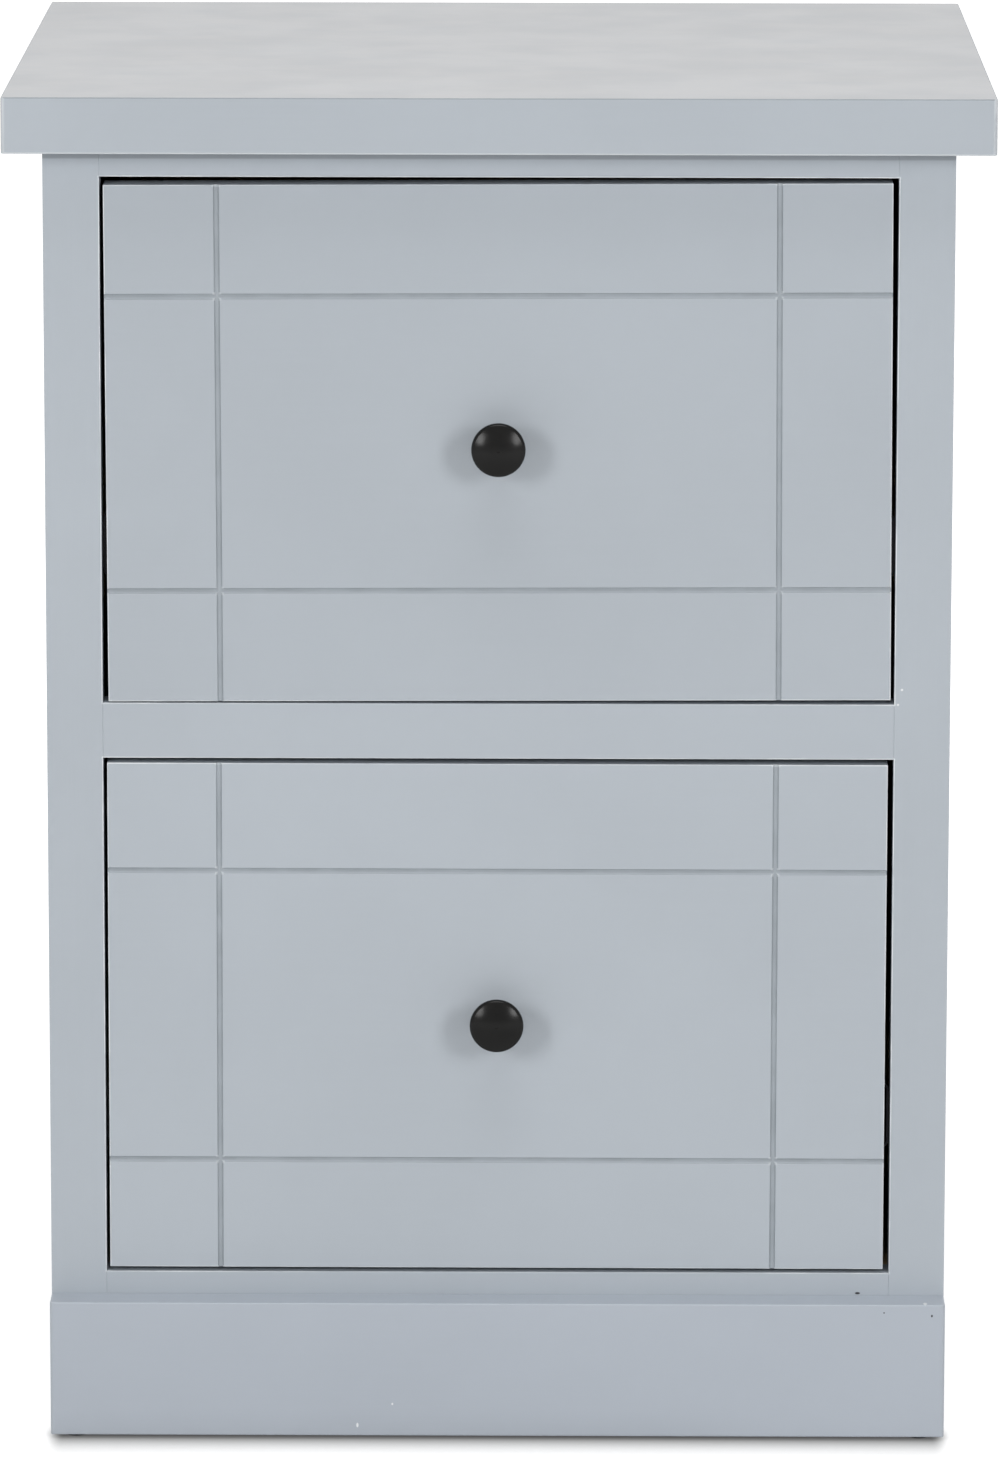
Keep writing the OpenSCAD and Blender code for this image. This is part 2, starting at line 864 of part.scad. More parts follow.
outer_slide(LEFT, UPPER);  // upper_left_outer_slide
outer_slide(RIGHT, UPPER);  // upper_right_outer_slide
outer_slide_screws();
ball_cage(LEFT, LOWER);  // lower_left_ball_cage
ball_cage(RIGHT, LOWER);  // lower_right_ball_cage
ball_cage(LEFT, UPPER);  // upper_left_ball_cage
ball_cage(RIGHT, UPPER);  // upper_right_ball_cage
drawer_front(LOWER);  // lower_drawer_front
box_front(LOWER);  // lower_box_front
box_side(LEFT, LOWER);  // lower_box_left
box_side(RIGHT, LOWER);  // lower_box_right
box_back(LOWER);  // lower_box_back
box_floor(LOWER);  // lower_box_floor
inner_slide(LEFT, LOWER);  // lower_left_inner_slide
inner_slide(RIGHT, LOWER);  // lower_right_inner_slide
slide_screws(LOWER);  // lower_slide_screws
front_screws(LOWER);  // lower_front_screws
knob(LOWER);  // lower_knob
knob_screw(LOWER);  // lower_knob_screw
drawer_front(UPPER);  // upper_drawer_front
box_front(UPPER);  // upper_box_front
box_side(LEFT, UPPER);  // upper_box_left
box_side(RIGHT, UPPER);  // upper_box_right
box_back(UPPER);  // upper_box_back
box_floor(UPPER);  // upper_box_floor
inner_slide(LEFT, UPPER);  // upper_left_inner_slide
inner_slide(RIGHT, UPPER);  // upper_right_inner_slide
slide_screws(UPPER);  // upper_slide_screws
front_screws(UPPER);  // upper_front_screws
knob(UPPER);  // upper_knob
knob_screw(UPPER);  // upper_knob_screw
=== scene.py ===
"""The looks of a painted nightstand with two drawers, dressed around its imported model."""

import math
from collections import namedtuple

import bpy
from mathutils import Matrix, Quaternion, Vector


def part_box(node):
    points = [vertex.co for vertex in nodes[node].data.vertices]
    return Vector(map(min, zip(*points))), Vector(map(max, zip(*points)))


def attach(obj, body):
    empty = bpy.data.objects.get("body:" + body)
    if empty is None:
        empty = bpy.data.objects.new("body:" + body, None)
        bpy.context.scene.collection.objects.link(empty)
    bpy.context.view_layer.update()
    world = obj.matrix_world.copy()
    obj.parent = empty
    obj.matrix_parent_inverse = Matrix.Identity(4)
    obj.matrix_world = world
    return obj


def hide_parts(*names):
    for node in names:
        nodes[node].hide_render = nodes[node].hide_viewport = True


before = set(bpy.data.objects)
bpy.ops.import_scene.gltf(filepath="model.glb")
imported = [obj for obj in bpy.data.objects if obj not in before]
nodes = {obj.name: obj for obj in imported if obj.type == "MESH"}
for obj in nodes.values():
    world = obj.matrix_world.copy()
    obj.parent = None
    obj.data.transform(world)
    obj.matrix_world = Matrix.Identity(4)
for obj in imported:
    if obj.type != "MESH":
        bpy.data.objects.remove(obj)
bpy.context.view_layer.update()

MM = 0.001
X, Y, Z = range(3)


def srgb(red, green, blue):
    """Linear colour of an sRGB colour given in 0 to 255."""

    def linear(value):
        share = value / 255
        return share / 12.92 if share <= 0.04045 else ((share + 0.055) / 1.055) ** 2.4

    return (linear(red), linear(green), linear(blue), 1.0)


def tinted(colour, share):
    """The colour with each channel times a share."""
    return [channel * share for channel in colour[:3]] + [1.0]


def on_axis(axis, value, elsewhere=1.0):
    """A number for each axis: the value on one, and the same other number on the rest."""
    return [value if index == axis else elsewhere for index in (X, Y, Z)]


# ---------------------------------------------------------------- camera

CAMERA_PLACE = Vector((31.87, -4640.26, 1227.73)) * MM
CAMERA_PITCH = math.radians(10.886)
CAMERA_YAW = math.radians(0.4005)
CAMERA_ROLL = math.radians(0.0797)
CAMERA_LENS_MM = 214.86
SENSOR_MM = 36.0
CLIP_START, CLIP_END = 0.1, 200.0

# ---------------------------------------------------------------- light and backdrop

WHITE = (1.0, 1.0, 1.0, 1.0)
BLACK = (0.0, 0.0, 0.0, 1.0)
WORLD_LIGHT = 0.265
SHOWN_WHITE = 1.0

# What the lamps point at
TARGET = Vector((0, -0.2, 0.36))

# Degrees round from the front and up from level, metres, and watts
Softbox = namedtuple("Softbox", "azimuth elevation distance width height watts")
SOFTBOXES = {
    "left_softbox": Softbox(-36, 16, 3.4, 0.9, 1.3, 32.6),
    "right_softbox": Softbox(36, 16, 3.4, 0.9, 1.3, 32.6),
    "upper_softbox": Softbox(0, 75, 3.5, 2.4, 1.6, 36),
    "rear_softbox": Softbox(180, 45, 3.5, 2.4, 1.6, 21),
}

# ---------------------------------------------------------------- floor

FLOOR_RADIUS = 60.0
FLOOR_CORNERS = 96
FLOOR_DIFFUSE = (0.60, 0.60, 0.60, 1.0)
FLOOR_BOUNCE = (0.84, 0.84, 0.84, 1.0)

# The floor's glow by the object, and the ring in which it rises to the backdrop's white
FLOOR_GLOW_NEAR = 0.76
FLOOR_FADE = (0.6, 1.8)

# The shade before the plinth: how dark it is, how far behind the plinth's face it starts,
# how far it reaches and with what fall-off, and where it fades past the plinth's ends and
# behind its face
CONTACT_DARKEST = 0.88
CONTACT_START = 6.2 * MM
CONTACT_REACH = 23.1 * MM
CONTACT_SHAPE = 1.27
CONTACT_ENDS = (5.8 * MM, -6.5 * MM)
CONTACT_BEHIND = (-30 * MM, -10 * MM)

# The faint shade all round the object
SIDE_REACH = 60 * MM
SIDE_SHARE = 0.1
SIDE_SAMPLES = 24

# ---------------------------------------------------------------- colours and grain

PAINT_BODY = srgb(178, 185, 192)
# The upper face of the top board, painted lighter and greyer as a painted sheen
PAINT_TOP_WITH_SHEEN = srgb(189, 190, 192)
PAINT_PLINTH = srgb(178, 185, 194)
# Light eased edges: part wear, part painted highlight
PAINT_WORN_AND_LIT = srgb(208, 213, 217)
# Painted shade, for the grooves and a board's upper edges
PAINT_SHADE = srgb(150, 157, 163)
# Painted highlight, for the rims by the gaps, the grooves' crossings and ends, and a board's lower
# edge
PAINT_HIGHLIGHT = srgb(232, 236, 238)
PRIMER = srgb(226, 228, 230)
# Dark knocks in the paint, and the painted shade under the top and above the plinth's foot
DARK_MARKS_AND_SHADE = srgb(38, 38, 42)

BIRCH_LIGHT = srgb(222, 200, 164)
BIRCH_DARK = srgb(196, 166, 124)
BEECH_LIGHT = srgb(212, 172, 128)
BEECH_DARK = srgb(178, 130, 86)
VENEER_LIGHT = srgb(226, 206, 172)
VENEER_DARK = srgb(203, 176, 137)

FIBRE_DARK = srgb(118, 88, 60)
FIBRE_LIGHT = srgb(150, 116, 82)
FIBRE_CLOUD = srgb(136, 103, 72)
FIBRE_FLECK = srgb(92, 66, 44)

SLIDE_ZINC = srgb(44, 44, 47)
CAGE_ZINC = srgb(158, 161, 166)
SCREW_ZINC = srgb(205, 205, 202)
LACQUER_DARK = srgb(9, 9, 8)
LACQUER_LIGHT = srgb(13, 12, 11)
LACQUER_SPECK = srgb(24, 23, 21)
NYLON_DARK = srgb(22, 22, 23)
NYLON_LIGHT = srgb(34, 34, 35)

# The top board's sides are painted a little darker than the case, as painted shade that evens out
# the extra light they catch
BOARD_TONE = 0.97

# The darkest and the lightest clouds in the paint, as shares of its colour
PAINT_CLOUDS = (0.975, 1.02)

# How far the rings of the timber wander from a circle
RING_WANDER = 12 * MM

# ---------------------------------------------------------------- drawer fronts

# How a front hangs on its box: sideways, upwards and turned in its own plane, how light its paint
# is made, which is painted shade on the upper front and painted light on the lower one to even out
# how the light falls, and how far above its line its upper level groove was cut
Hang = namedtuple("Hang", "sideways upwards turn tone groove_lift")
FRONT_HANGS = {
    "upper": Hang(0.0, -0.5 * MM, math.radians(-0.24), 0.97, 0.2 * MM),
    "lower": Hang(-0.55 * MM, 0.2 * MM, math.radians(0.04), 1.018, 1.0 * MM),
}

# The grooves of a front: from an edge of the front to a groove's middle, half a groove's
# width, and its depth
GROOVE_INSET = 58 * MM
GROOVE_HALF = 1.55 * MM
GROOVE_DEPTH = 1.2 * MM

# Where a groove's look fades in: sideways from its middle, below the face, and behind
# the groove's floor
GROOVE_SIDES = (GROOVE_HALF * 1.3, GROOVE_HALF * 1.1)
GROOVE_LIPS = (GROOVE_DEPTH * 0.04, GROOVE_DEPTH * 0.3)
GROOVE_FLOOR = (GROOVE_DEPTH * 1.4, GROOVE_DEPTH * 1.2)

# A front's face and top edge, and the lines of its upright and its level grooves
Grooves = namedtuple("Grooves", "face_y top_z upright_lines level_lines")

# ---------------------------------------------------------------- wear, knocks, painted highlights and painted shade

# Where finishes fade in by how far a surface looks up, from -1 to 1: the colour of a board's upper
# face, painted lighter as a painted sheen, the painted shade on its upper edges, and all but its
# underside
UPPER_FACE = (0.9, 0.99)
UPPER_EDGE = (0.1, 0.3)
NOT_UNDERSIDE = (-0.95, -0.85)

# Where an edge is eased, by how square the surface is to its nearest axis
EASED_EDGE = (0.995, 0.93)

# How much of the wear and painted highlight on the eased edges shows on the face frame and the
# plinth
FRAME_WEAR_AND_HIGHLIGHT = 0.1

# The painted highlights on the corners where grooves cross, and on the upper ends of the upright
# grooves, across and downwards
CROSSING_HIGHLIGHT = (0.9 * MM, 0.4 * MM)
GROOVE_END_ACROSS = (2.6 * MM, 2.0 * MM)
GROOVE_END_DOWN = (1.3 * MM, 0.9 * MM)

# A rectangle of painted highlight on a face beside a drawer's gap, and how strong the highlight on
# its lower and its upper edge is next to that on its upright ones
Rim = namedtuple("Rim", "low high lower_wear upper_wear")
FRONT_RIM_HIGHLIGHT = (0.6, 0.25)
OPENING_RIM_HIGHLIGHT = (0.2, 0.6)

# How far a rim's painted highlight reaches out from its edges, past their ends and in from the face
RIM_SIDES = (0.6 * MM, 0.42 * MM)
RIM_ENDS = (1.2 * MM, 0.0)
RIM_DEPTH = (0.9 * MM, 0.6 * MM)

# The painted highlight that a rim's level edges gain near the corners, and where it starts and is
# full
RIM_CORNER_HIGHLIGHT = 0.45
RIM_CORNERS = (-120 * MM, -10 * MM)

# Between these heights about its middle, a rim's painted highlight goes from lower to upper
RIM_MIDDLE = (-1 * MM, 1 * MM)

# The painted highlight along the lower edge of the top board's sides: where it ends above the edge,
# and its share
STRIP_HEIGHT = (0.9 * MM, 0.6 * MM)
STRIP_SHARE = 0.75

# Bands of painted shade under the top board: where each starts and is full below it, and its share
UNDER_TOP_SHADE = [(16 * MM, 9 * MM, 0.035), (5.2 * MM, 4.2 * MM, 0.32)]

# Bands of painted shade above the foot of the plinth: the height of each, and its share at the
# foot. Towards the right end they thin out to what is left there.
FOOT_SHADE = [(68 * MM, 0.05), (14 * MM, 0.06)]
FOOT_SHADE_ENDS = (180 * MM, 60 * MM)
FOOT_SHADE_LEFT = 0.2

# Small knocks in the paint, with their places and radii in millimetres
Knock = namedtuple("Knock", "place radius stretch colour")
KNOCKS = [
    Knock((188.8, -206, 74.6), 1.3, (1.3, 1, 0.6), DARK_MARKS_AND_SHADE),
    Knock((227.1, -226, 67.6), 0.75, (0.8, 1, 1.2), DARK_MARKS_AND_SHADE),
    Knock((202.1, -226, 69.2), 0.5, (1, 1, 1), DARK_MARKS_AND_SHADE),
    Knock((223.6, -223.4, 73.4), 1.2, (1.1, 2.4, 2), PRIMER),
    Knock((236.5, -226, 677), 1.2, (1.1, 1, 0.8), DARK_MARKS_AND_SHADE),
    Knock((208.9, -206, 396.6), 0.8, (1, 1, 1), PRIMER),
    Knock((206.9, -206, 388.7), 0.8, (1, 1, 1), PRIMER),
    Knock((-203.5, -206, 570.2), 0.8, (0.7, 1, 1.3), DARK_MARKS_AND_SHADE),
    Knock((-73.2, -226, 7.7), 1.1, (0.7, 1, 1.4), PRIMER),
    Knock((-54.9, -226, 19.2), 0.8, (0.8, 1, 1), PRIMER),
]

# ---------------------------------------------------------------- node trees


class Tree:
    """The node tree of a material or a world. Its calls take and give sockets."""

    def __init__(self, owner, output_kind):
        owner.use_nodes = True
        self.tree = owner.node_tree
        self.tree.nodes.clear()
        self.output = self.tree.nodes.new(output_kind)

    def put(self, socket, value):
        """Links a socket to another one, or sets its value."""
        if isinstance(value, bpy.types.NodeSocket):
            self.tree.links.new(value, socket)
        else:
            socket.default_value = value

    def add(self, kind, settings=None, **inputs):
        """A new node, with its properties and its inputs by name, with _ for a space."""
        made = self.tree.nodes.new(kind)
        for key, value in (settings or {}).items():
            setattr(made, key, value)
        for key, value in inputs.items():
            self.put(made.inputs[key.replace("_", " ")], value)
        return made

    def fed(self, kind, settings, *values):
        """A new node, with its properties and its first inputs in their order."""
        made = self.add(kind, settings)
        for socket, value in zip(made.inputs, values):
            self.put(socket, value)
        return made

    def math(self, operation, first, second=0.0, clamp=False):
        """A sum on one or two numbers."""
        settings = {"operation": operation, "use_clamp": clamp}
        return self.fed("ShaderNodeMath", settings, first, second).outputs[0]

    def vector(self, operation, *values):
        """A sum on vectors that gives a vector."""
        return self.fed("ShaderNodeVectorMath", {"operation": operation}, *values).outputs[0]

    def length(self, vector):
        """The length of a vector."""
        made = self.fed("ShaderNodeVectorMath", {"operation": "LENGTH"}, vector)
        return made.outputs["Value"]

    def product(self, first, *others):
        """All the numbers multiplied."""
        for other in others:
            first = self.math("MULTIPLY", first, other)
        return first

    def largest(self, first, *others):
        """The largest of the numbers."""
        for other in others:
            first = self.math("MAXIMUM", first, other)
        return first

    def apart(self, first, second):
        """How far two numbers are apart."""
        return self.math("ABSOLUTE", self.math("SUBTRACT", first, second))

    def rest_of(self, share):
        """What a share leaves of 1."""
        return self.math("SUBTRACT", 1.0, share)

    def ramp(self, factor, low, high, at_low=0.0, at_high=1.0, smooth=True):
        """Maps a factor from low..high to at_low..at_high."""
        made = self.add(
            "ShaderNodeMapRange",
            {"interpolation_type": "SMOOTHSTEP" if smooth else "LINEAR"},
            Value=factor,
            From_Min=low,
            From_Max=high,
            To_Min=at_low,
            To_Max=at_high,
        )
        return made.outputs["Result"]

    def mix(self, share, first, second):
        """The first colour with a share of the second one over it."""
        made = self.add("ShaderNodeMix", {"data_type": "RGBA"})
        # This node names its sockets alike for each type, so the colours go by number
        for index, value in ((0, share), (6, first), (7, second)):
            self.put(made.inputs[index], value)
        return made.outputs[2]

    def surface(self, shader):
        """Gives the tree its shader."""
        self.put(self.output.inputs["Surface"], shader.outputs[0])

    def lit_or_shown(self, lighting, shown):
        """One shader as light, the other for the camera and what metal and glass show."""
        rays = self.add("ShaderNodeLightPath").outputs
        kinds = ("Is Camera Ray", "Is Glossy Ray", "Is Transmission Ray")
        factor = self.largest(*[rays[kind] for kind in kinds])
        shaders = (lighting.outputs[0], shown.outputs[0])
        self.surface(self.fed("ShaderNodeMixShader", {}, factor, *shaders))


class Finish(Tree):
    """A material, with its colour as laid down so far and the object's own coordinates."""

    def __init__(self, name, colour=WHITE):
        self.material = bpy.data.materials.new(name)
        super().__init__(self.material, "ShaderNodeOutputMaterial")
        self.coordinates = self.add("ShaderNodeTexCoord").outputs
        self.place = self.coordinates["Object"]
        self.colour = colour

    def axes(self):
        """The place on each of the object's own axes, in metres."""
        return self.add("ShaderNodeSeparateXYZ", Vector=self.place).outputs

    def facing(self):
        """The surface's direction along each of the object's own axes."""
        return self.add("ShaderNodeSeparateXYZ", Vector=self.coordinates["Normal"]).outputs

    def stretched(self, scale):
        """The place times a scale for each axis."""
        return self.vector("MULTIPLY", self.place, scale)

    def noise(self, scale, detail=2.0, roughness=0.5, distortion=0.0, per_axis=(1, 1, 1)):
        """Cloudy noise, drawn out by a scale for each axis."""
        made = self.add(
            "ShaderNodeTexNoise",
            Vector=self.stretched(per_axis),
            Scale=scale,
            Detail=detail,
            Roughness=roughness,
            Distortion=distortion,
        )
        return made.outputs["Fac"]

    def near(self, point, radius, stretch):
        """1 at a point, fading to 0 at a radius that is stretched for each axis."""
        away = self.vector("SUBTRACT", self.place, point)
        away = self.vector("DIVIDE", away, [radius * share for share in stretch])
        return self.ramp(self.length(away), 1.0, 0.55)

    def bump(self, height, distance, strength, normal=None):
        """The surface's direction with a height as relief, over another relief if given."""
        made = self.add("ShaderNodeBump", Height=height, Distance=distance, Strength=strength)
        if normal is not None:
            self.put(made.inputs["Normal"], normal)
        return made.outputs["Normal"]

    def coat(self, share, colour):
        """Lays a share of a colour over what is there."""
        self.colour = self.mix(share, self.colour, colour)

    def principled(self, **inputs):
        """The finished material, in the colour laid down."""
        shader = self.add("ShaderNodeBsdfPrincipled", Base_Color=self.colour, **inputs)
        self.surface(shader)
        return self.material


# ---------------------------------------------------------------- paint


def lay_paint(t, upper, strokes, brush):
    """Cloudy paint with brush marks, painted lighter and greyer as a painted sheen where a face
    looks up.
    """
    dark, light = [tinted(t.colour, share) for share in PAINT_CLOUDS]
    clouds = t.noise(5.5, detail=3.0, roughness=0.55)
    patches = t.noise(28.0)
    t.colour = dark
    t.coat(t.ramp(clouds, 0.3, 0.7), light)
    if upper is not None:
        # Faces that look up get a painted sheen
        t.coat(t.ramp(t.facing()["Z"], *UPPER_FACE), upper)
    t.coat(t.ramp(patches, 0.35, 0.75, at_high=0.16), dark)
    t.coat(t.ramp(strokes, 0.4, 0.75, at_high=brush), light)


def lay_under_shade(t, under):
    """Painted shade close below a height."""
    height = t.axes()["Z"]
    for start, full, share in UNDER_TOP_SHADE:
        # Painted shade below the top board
        t.coat(t.ramp(height, under - start, under - full, at_high=share), DARK_MARKS_AND_SHADE)


def lay_foot_shade(t, foot):
    """Painted shade close above a height, less of it on the right."""
    axes = t.axes()
    bands = [
        t.ramp(axes["Z"], foot + height, foot, at_high=share, smooth=False)
        for height, share in FOOT_SHADE
    ]
    thinning = t.ramp(axes["X"], *FOOT_SHADE_ENDS, at_low=FOOT_SHADE_LEFT)
    # Painted shade above the plinth's foot
    t.coat(t.product(t.math("ADD", *bands), thinning), DARK_MARKS_AND_SHADE)


def lay_board_edges(t, eased, worn_and_lit_edges):
    """Painted shade on a board's upper edges and a painted highlight along its lower ones.

    Gives the wear and painted highlight that is left, which is none where the board looks up.
    """
    tilt = t.facing()["Z"]
    looks_up = t.ramp(tilt, *UPPER_EDGE)
    # Painted shade on the upper edges
    t.coat(t.product(eased, looks_up), PAINT_SHADE)
    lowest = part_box("top")[0].z
    strip = t.ramp(t.axes()["Z"], *[lowest + height for height in STRIP_HEIGHT])
    # Painted highlight along the lower edge
    t.coat(t.product(strip, t.ramp(tilt, *NOT_UNDERSIDE, at_high=STRIP_SHARE)), PAINT_HIGHLIGHT)
    return t.product(worn_and_lit_edges, t.rest_of(looks_up))


def from_nearest(t, place, lines):
    """The distance of a place on an axis from the nearest of two lines."""
    return t.math("MINIMUM", *[t.apart(place, line) for line in lines])


def groove_mask(t, grooves):
    """1 in the grooves of a drawer front and 0 elsewhere."""
    axes = t.axes()
    upright = t.ramp(from_nearest(t, axes["X"], grooves.upright_lines), *GROOVE_SIDES)
    level = t.ramp(from_nearest(t, axes["Z"], grooves.level_lines), *GROOVE_SIDES)
    depth = t.math("SUBTRACT", axes["Y"], grooves.face_y)
    cut = t.product(t.ramp(depth, *GROOVE_LIPS), t.ramp(depth, *GROOVE_FLOOR))
    return t.product(t.largest(upright, level), cut)


def lay_groove_shade(t, grooves, worn_and_lit_edges):
    """Painted shade in the grooves, less on their lower sides, which look up.

    Gives the wear and painted highlight that is left, which is none in a groove.
    """
    groove = groove_mask(t, grooves)
    uneven = t.ramp(t.noise(60.0), 0.3, 0.7, at_low=0.6, at_high=0.9)
    shelter = t.ramp(t.facing()["Z"], 0.05, 0.5, at_low=1.0, at_high=0.3)
    # Painted shade in the grooves
    t.coat(t.product(groove, uneven, shelter), PAINT_SHADE)
    return t.product(worn_and_lit_edges, t.rest_of(groove))


def groove_highlight(t, grooves):
    """The painted highlights on the corners where a front's grooves cross, and on their upper ends.
    """
    axes = t.axes()
    from_upright = from_nearest(t, axes["X"], grooves.upright_lines)
    from_level = from_nearest(t, axes["Z"], grooves.level_lines)
    corner = [t.apart(away, GROOVE_HALF) for away in (from_upright, from_level)]
    crossing = t.ramp(t.largest(*corner), *CROSSING_HIGHLIGHT)
    from_top = t.math("SUBTRACT", grooves.top_z, axes["Z"])
    end = t.product(t.ramp(from_upright, *GROOVE_END_ACROSS), t.ramp(from_top, *GROOVE_END_DOWN))
    on_face = t.ramp(t.math("SUBTRACT", axes["Y"], grooves.face_y), *GROOVE_FLOOR)
    broken = t.ramp(t.noise(90.0), 0.3, 0.6, at_low=0.15, at_high=0.4)
    return t.product(t.largest(crossing, end), on_face, broken)


def edge_line(t, out, past_end):
    """1 along an edge, from how far a place lies out from it and past its ends."""
    line = t.ramp(t.math("ABSOLUTE", out), *RIM_SIDES)
    return t.product(line, t.ramp(past_end, *RIM_ENDS))


def rim_line(t, axes, rim):
    """The painted highlight along the four edges of a rim, whatever the depth."""
    middle, half = (rim.low + rim.high) / 2, (rim.high - rim.low) / 2
    up = t.math("SUBTRACT", axes["Z"], middle.z)
    out_x = t.math("SUBTRACT", t.apart(axes["X"], middle.x), half.x)
    out_z = t.math("SUBTRACT", t.math("ABSOLUTE", up), half.z)
    share = t.ramp(up, *RIM_MIDDLE, rim.lower_wear, rim.upper_wear)
    near_corner = t.ramp(out_x, *RIM_CORNERS, at_high=RIM_CORNER_HIGHLIGHT)
    level = t.product(edge_line(t, out_z, out_x), t.math("ADD", share, near_corner, clamp=True))
    return t.largest(edge_line(t, out_x, out_z), level)


def rim_highlight(t, rims):
    """The painted highlight along the rims beside the drawers' gaps, all of them on one face."""
    axes = t.axes()
    lines = t.largest(*[rim_line(t, axes, rim) for rim in rims])
    on_face = t.ramp(t.math("SUBTRACT", axes["Y"], rims[0].low.y), *RIM_DEPTH)
    broken = t.ramp(t.noise(38.0, detail=3.0, roughness=0.6), 0.35, 0.6, at_low=0.35)
    return t.product(lines, on_face, broken)


def paint(
    name,
    colour,
    brush_axis,
    brush=0.2,
    knocks=(),
    grooves=None,
    upper=None,
    wear=1.0,
    rims=(),
    under=None,
    foot=None,
):
    """Satin furniture paint: cloudy colour, brush marks, roller texture and light eased edges,
    which are part wear and part painted highlight.

    The grooves of a drawer front get painted shade, and the rims beside the gaps a painted
    highlight. An upper colour is that of a board's upper face, painted lighter as a painted sheen.
    There is painted shade close below the height given as under, and close above the height given
    as foot.
    """
    t = Finish(name, colour)
    brushed = on_axis(brush_axis, 1.6, elsewhere=60.0)
    strokes = t.noise(9.0, detail=3.0, roughness=0.6, per_axis=brushed)
    lay_paint(t, upper, strokes, brush)
    if under is not None:
        lay_under_shade(t, under)
    if foot is not None:
        lay_foot_shade(t, foot)

    facing = t.facing()
    squareness = t.largest(*[t.math("ABSOLUTE", facing[axis]) for axis in "XYZ"])
    eased = t.ramp(squareness, *EASED_EDGE)
    # Eased edges get a light colour that is part wear and part painted highlight
    worn_and_lit_edges = t.product(eased, t.ramp(t.noise(35.0), 0.3, 0.7, at_low=0.3, at_high=0.95))
    if upper is not None:
        worn_and_lit_edges = lay_board_edges(t, eased, worn_and_lit_edges)
    if grooves is not None:
        worn_and_lit_edges = lay_groove_shade(t, grooves, worn_and_lit_edges)
    t.coat(t.product(worn_and_lit_edges, wear), PAINT_WORN_AND_LIT)
    if grooves is not None:
        # Painted highlights at the grooves' crossings and upper ends
        t.coat(groove_highlight(t, grooves), PAINT_HIGHLIGHT)
    if rims:
        # Painted highlight along the rims beside the gaps
        t.coat(rim_highlight(t, rims), PAINT_HIGHLIGHT)
    for knock in knocks:
        spot = t.near(Vector(knock.place) * MM, knock.radius * MM, knock.stretch)
        t.coat(spot, knock.colour)

    sheen = t.noise(14.0, detail=3.0, roughness=0.6)
    grain = t.bump(t.noise(900.0, roughness=0.6), distance=0.02 * MM, strength=0.5)
    return t.principled(
        Roughness=t.ramp(sheen, 0.3, 0.7, at_low=0.40, at_high=0.52),
        Normal=t.bump(strokes, distance=0.05 * MM, strength=0.6, normal=grain),
    )


# ---------------------------------------------------------------- wood


def wood(name, axis, early, late, ring=6 * MM, heart=(0.11, 0.35, -0.4)):
    """Solid timber with its rings round the given axis, so that faces and end grain agree.

    Ring is the width of a year's growth, and heart leads from the middle of the rings
    to the frame's origin.
    """
    t = Finish(name, early)
    across = on_axis(axis, 0.0)
    heart = [place * share for place, share in zip(heart, across)]
    radius = t.length(t.vector("ADD", t.stretched(across), heart))
    lengthwise = t.noise(9.0, per_axis=on_axis(axis, 0.12))
    wander = t.ramp(lengthwise, 0.0, 1.0, -RING_WANDER, RING_WANDER, smooth=False)
    rings = t.add(
        "ShaderNodeTexNoise",
        {"noise_dimensions": "1D"},
        W=t.math("ADD", radius, wander),
        Scale=1 / ring,
        Detail=3.0,
        Roughness=0.55,
    ).outputs["Fac"]
    drawn_out = on_axis(axis, 0.03)
    fibres = t.noise(1500.0, detail=3.0, roughness=0.65, per_axis=drawn_out)
    pores = t.noise(3200.0, detail=1.0, per_axis=drawn_out)
    clouds = t.noise(7.0, detail=3.0)

    t.coat(t.ramp(rings, 0.35, 0.75, at_high=0.6), late)
    t.coat(t.ramp(fibres, 0.35, 0.8, at_high=0.4), late)
    t.coat(t.ramp(clouds, 0.3, 0.75, at_high=0.3), early)
    t.coat(t.ramp(pores, 0.62, 0.8, at_high=0.3), tinted(late, 0.55))
    end_grain = t.math("ABSOLUTE", t.facing()["XYZ"[axis]])
    t.coat(t.ramp(end_grain, 0.8, 0.95, at_high=0.75), tinted(late, 0.72))
    return t.principled(
        Roughness=t.ramp(fibres, 0.3, 0.8, at_low=0.5, at_high=0.65),
        Normal=t.bump(fibres, distance=0.06 * MM, strength=0.5),
    )


def hardboard():
    """Brown fibreboard: matted fibres, a smooth pressed face and darker flecks."""
    t = Finish("hardboard_fibres", FIBRE_DARK)
    mats = t.noise(420.0, detail=4.0, roughness=0.7, distortion=0.6)
    flecks = t.noise(1400.0, per_axis=on_axis(Z, 0.35))
    clouds = t.noise(9.0, detail=3.0)
    t.coat(t.ramp(mats, 0.3, 0.7), FIBRE_LIGHT)
    t.coat(t.ramp(flecks, 0.6, 0.75, at_high=0.6), FIBRE_FLECK)
    t.coat(t.ramp(clouds, 0.3, 0.7, at_high=0.3), FIBRE_CLOUD)
    return t.principled(
        Roughness=t.ramp(mats, 0.3, 0.7, at_low=0.42, at_high=0.62),
        Normal=t.bump(mats, distance=0.05 * MM, strength=0.5),
    )


# ---------------------------------------------------------------- metal, knobs and glides


